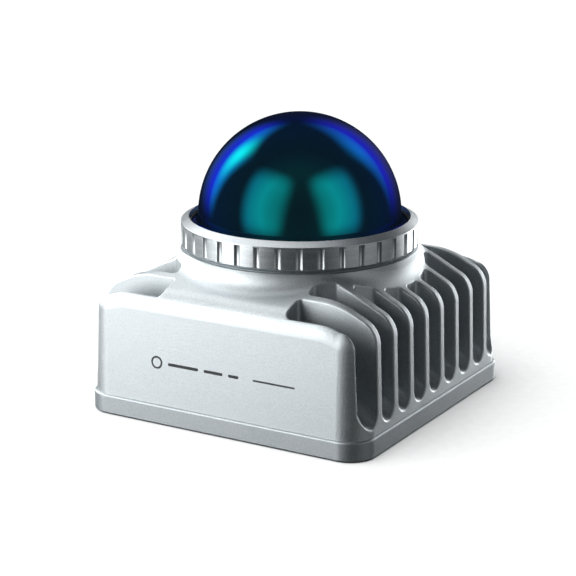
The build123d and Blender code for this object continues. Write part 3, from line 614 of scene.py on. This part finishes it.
# half of the ink's depth is sunk in the metal, so that no gap shows under it
thick = bmesh.ops.extrude_face_region(mark, geom=mark.faces[:])
raised = [item for item in thick["geom"] if isinstance(item, bmesh.types.BMVert)]
bmesh.ops.translate(mark, verts=raised, vec=(0, 0, 2 * INK_THICKNESS))
bmesh.ops.recalc_face_normals(mark, faces=mark.faces)
housing = frame["nodes"]["housing"]
found, spot, outward, _ = housing.ray_cast(Vector((0, -1, MARK_HEIGHT)), Vector((0, 1, 0)))
across = Vector((1, 0, 0))
upward = outward.cross(across)
lay = Matrix((across, upward, outward)).transposed().to_4x4()
lay.translation = spot - INK_THICKNESS * outward
bmesh.ops.transform(mark, matrix=lay, verts=mark.verts)
new_piece("front_mark", mark, "sensor_body", ink)
print("the mark lies at", [round(x / MM, 2) for x in spot], "on a face found:", found)

# %% [markdown]
# ## The floor and the backdrop
# The object stands on a plain, nearly white floor. The floor has its own wide, soft sun, so it
# stays even right to the edges, with only a faint shadow where the sensor stands. It is left
# out of mirror reflections, as a photographer would keep it out with black cards.

# %% Make the floor
FLOOR_SIDE = 6.0
ROOM_GLOW = 0.05                # what reflections see of the room; the camera sees plain white
sheet = bmesh.new()
bmesh.ops.create_grid(sheet, x_segments=1, y_segments=1, size=FLOOR_SIDE / 2)
floor_mesh = bpy.data.meshes.new("floor")
sheet.to_mesh(floor_mesh)
sheet.free()
floor_mesh.materials.append(grained("matt white paper", ("#f2f3f3", "#f8f8f8"), (0.85, 0.95),
                                    2 * MM, 0.01 * MM, mottle=200 * MM, values={"IOR": 1.4}))
floor = bpy.data.objects.new("floor", floor_mesh)
bpy.context.scene.collection.objects.link(floor)
floor.visible_glossy = False

world = bpy.data.worlds.new("studio")
world.use_nodes = True
bpy.context.scene.world = world
sky = world.node_tree
sky.nodes.clear()
rays = add(sky, "LightPath")
dim_room = add(sky, "Background", {"Color": linear("#d8e2e6"), "Strength": ROOM_GLOW})
white_wall = add(sky, "Background", {"Color": linear("#ffffff"), "Strength": 1.0})
room = add(sky, "MixShader", {0: rays.outputs["Is Camera Ray"], 1: dim_room.outputs[0],
                              2: white_wall.outputs[0]})
add(sky, "OutputWorld", {0: room.outputs[0]})
print("floor and backdrop made")

# %% [markdown]
# ## Lights
# Metal and a black mirror need different light: what flatters blasted metal would cover the
# dome in grey. So there are two sets of softboxes, and light linking says which set each thing
# receives. It is not one real studio, in which every lamp would show in the dome. The metal gets
# a box at the left rear, one at the left and a little in front, one high up behind, a low one at
# the right rear for the ring's far edge, and a faint fill at the right. The dome gets six boxes,
# whose soft-edged reflections show its shape.

# %% Hang the softboxes
BOX_DISTANCE = 0.6
POWER_PER_GLOW = 4              # watts for each square metre of a box with a glow of 1
SUN_DISTANCE = 1.5              # only its direction counts
SUN_SPREAD = 80                 # degrees
SUN_GLOW = 3.9


def receivers(name, objects, state):
    """A collection that says which objects a light reaches, or which it leaves out."""
    group = bpy.data.collections.new(name)
    for thing in objects:
        group.objects.link(thing)
    for member in group.collection_objects:
        member.light_linking.link_state = state
    return group


def softbox(name, right_of_camera, elevation, size, glow, group, soft_edge=0.0, colour="#ffffff"):
    """Hangs a softbox of a size in metres, which glows evenly or fades at its edges."""
    width, height = size
    light = bpy.data.lights.new(name, "AREA")
    light.shape = "RECTANGLE"
    light.size, light.size_y = width, height
    light.color = linear(colour)[:3]
    # power that grows with the area keeps the same glow equally bright at any size
    light.energy = POWER_PER_GLOW * glow * width * height
    if soft_edge:
        light.use_nodes = True
        tree = light.node_tree
        across_box = add(tree, "NewGeometry").outputs["Parametric"]
        sides = add(tree, "SeparateXYZ", {0: across_box})
        fades = []
        for side in sides.outputs[:2]:
            inwards = add(tree, "Math", {0: side, 1: 0.5}, operation="PINGPONG")
            fades.append(add(tree, "MapRange", {"Value": inwards.outputs[0],
                                                "From Max": soft_edge},
                             interpolation_type="SMOOTHSTEP").outputs["Result"])
        glow_map = add(tree, "Math", {0: fades[0], 1: fades[1]}, operation="MULTIPLY")
        emission = tree.nodes["Emission"]
        tree.links.new(glow_map.outputs[0], emission.inputs["Strength"])
    box = bpy.data.objects.new(name, light)
    aim_at(box, aim + BOX_DISTANCE * towards(right_of_camera, elevation), aim)
    box.light_linking.receiver_collection = group
    box.visible_camera = False


not_mirror = receivers("lit as metal", [dome, floor], "EXCLUDE")
mirror_only = receivers("lit as mirror", [dome], "INCLUDE")
floor_only = receivers("lit as floor", [floor], "INCLUDE")
# the metal's boxes
softbox("left box", -120, 20, (0.5, 0.5), 3.4, not_mirror)
softbox("front box", -67, 10, (0.48, 0.6), 3.5, not_mirror)
softbox("top box", -146, 62, (0.5, 0.5), 1.45, not_mirror)
softbox("rim box", 138, 2, (0.42, 0.4), 4.2, not_mirror)
softbox("right fill", 60, 5, (0.6, 0.5), 0.4, not_mirror)
# the dome's boxes. One has a green gel, whose reflection in the blue coating looks cyan
softbox("dome left rear", -136, 24, (0.72, 0.84), 3.4, mirror_only, 0.35, "#b0ffe2")
softbox("dome gel", -126, 34, (0.34, 0.5), 9.0, mirror_only, 0.5, "#10ff38")
softbox("dome front left", -43, 21, (0.74, 0.97), 0.78, mirror_only, 0.3)
softbox("dome front right", 47, 21, (0.76, 0.97), 0.78, mirror_only, 0.3)
softbox("dome right rear", 142, 24, (0.74, 0.9), 1.9, mirror_only, 0.4)
softbox("dome back", 180, 25, (0.44, 0.55), 0.12, mirror_only, 0.4)

sun = bpy.data.lights.new("floor sun", "SUN")
sun.energy = SUN_GLOW
sun.angle = math.radians(SUN_SPREAD)
overhead = bpy.data.objects.new("floor sun", sun)
aim_at(overhead, aim + SUN_DISTANCE * towards(-60, 70), aim)
overhead.light_linking.receiver_collection = floor_only
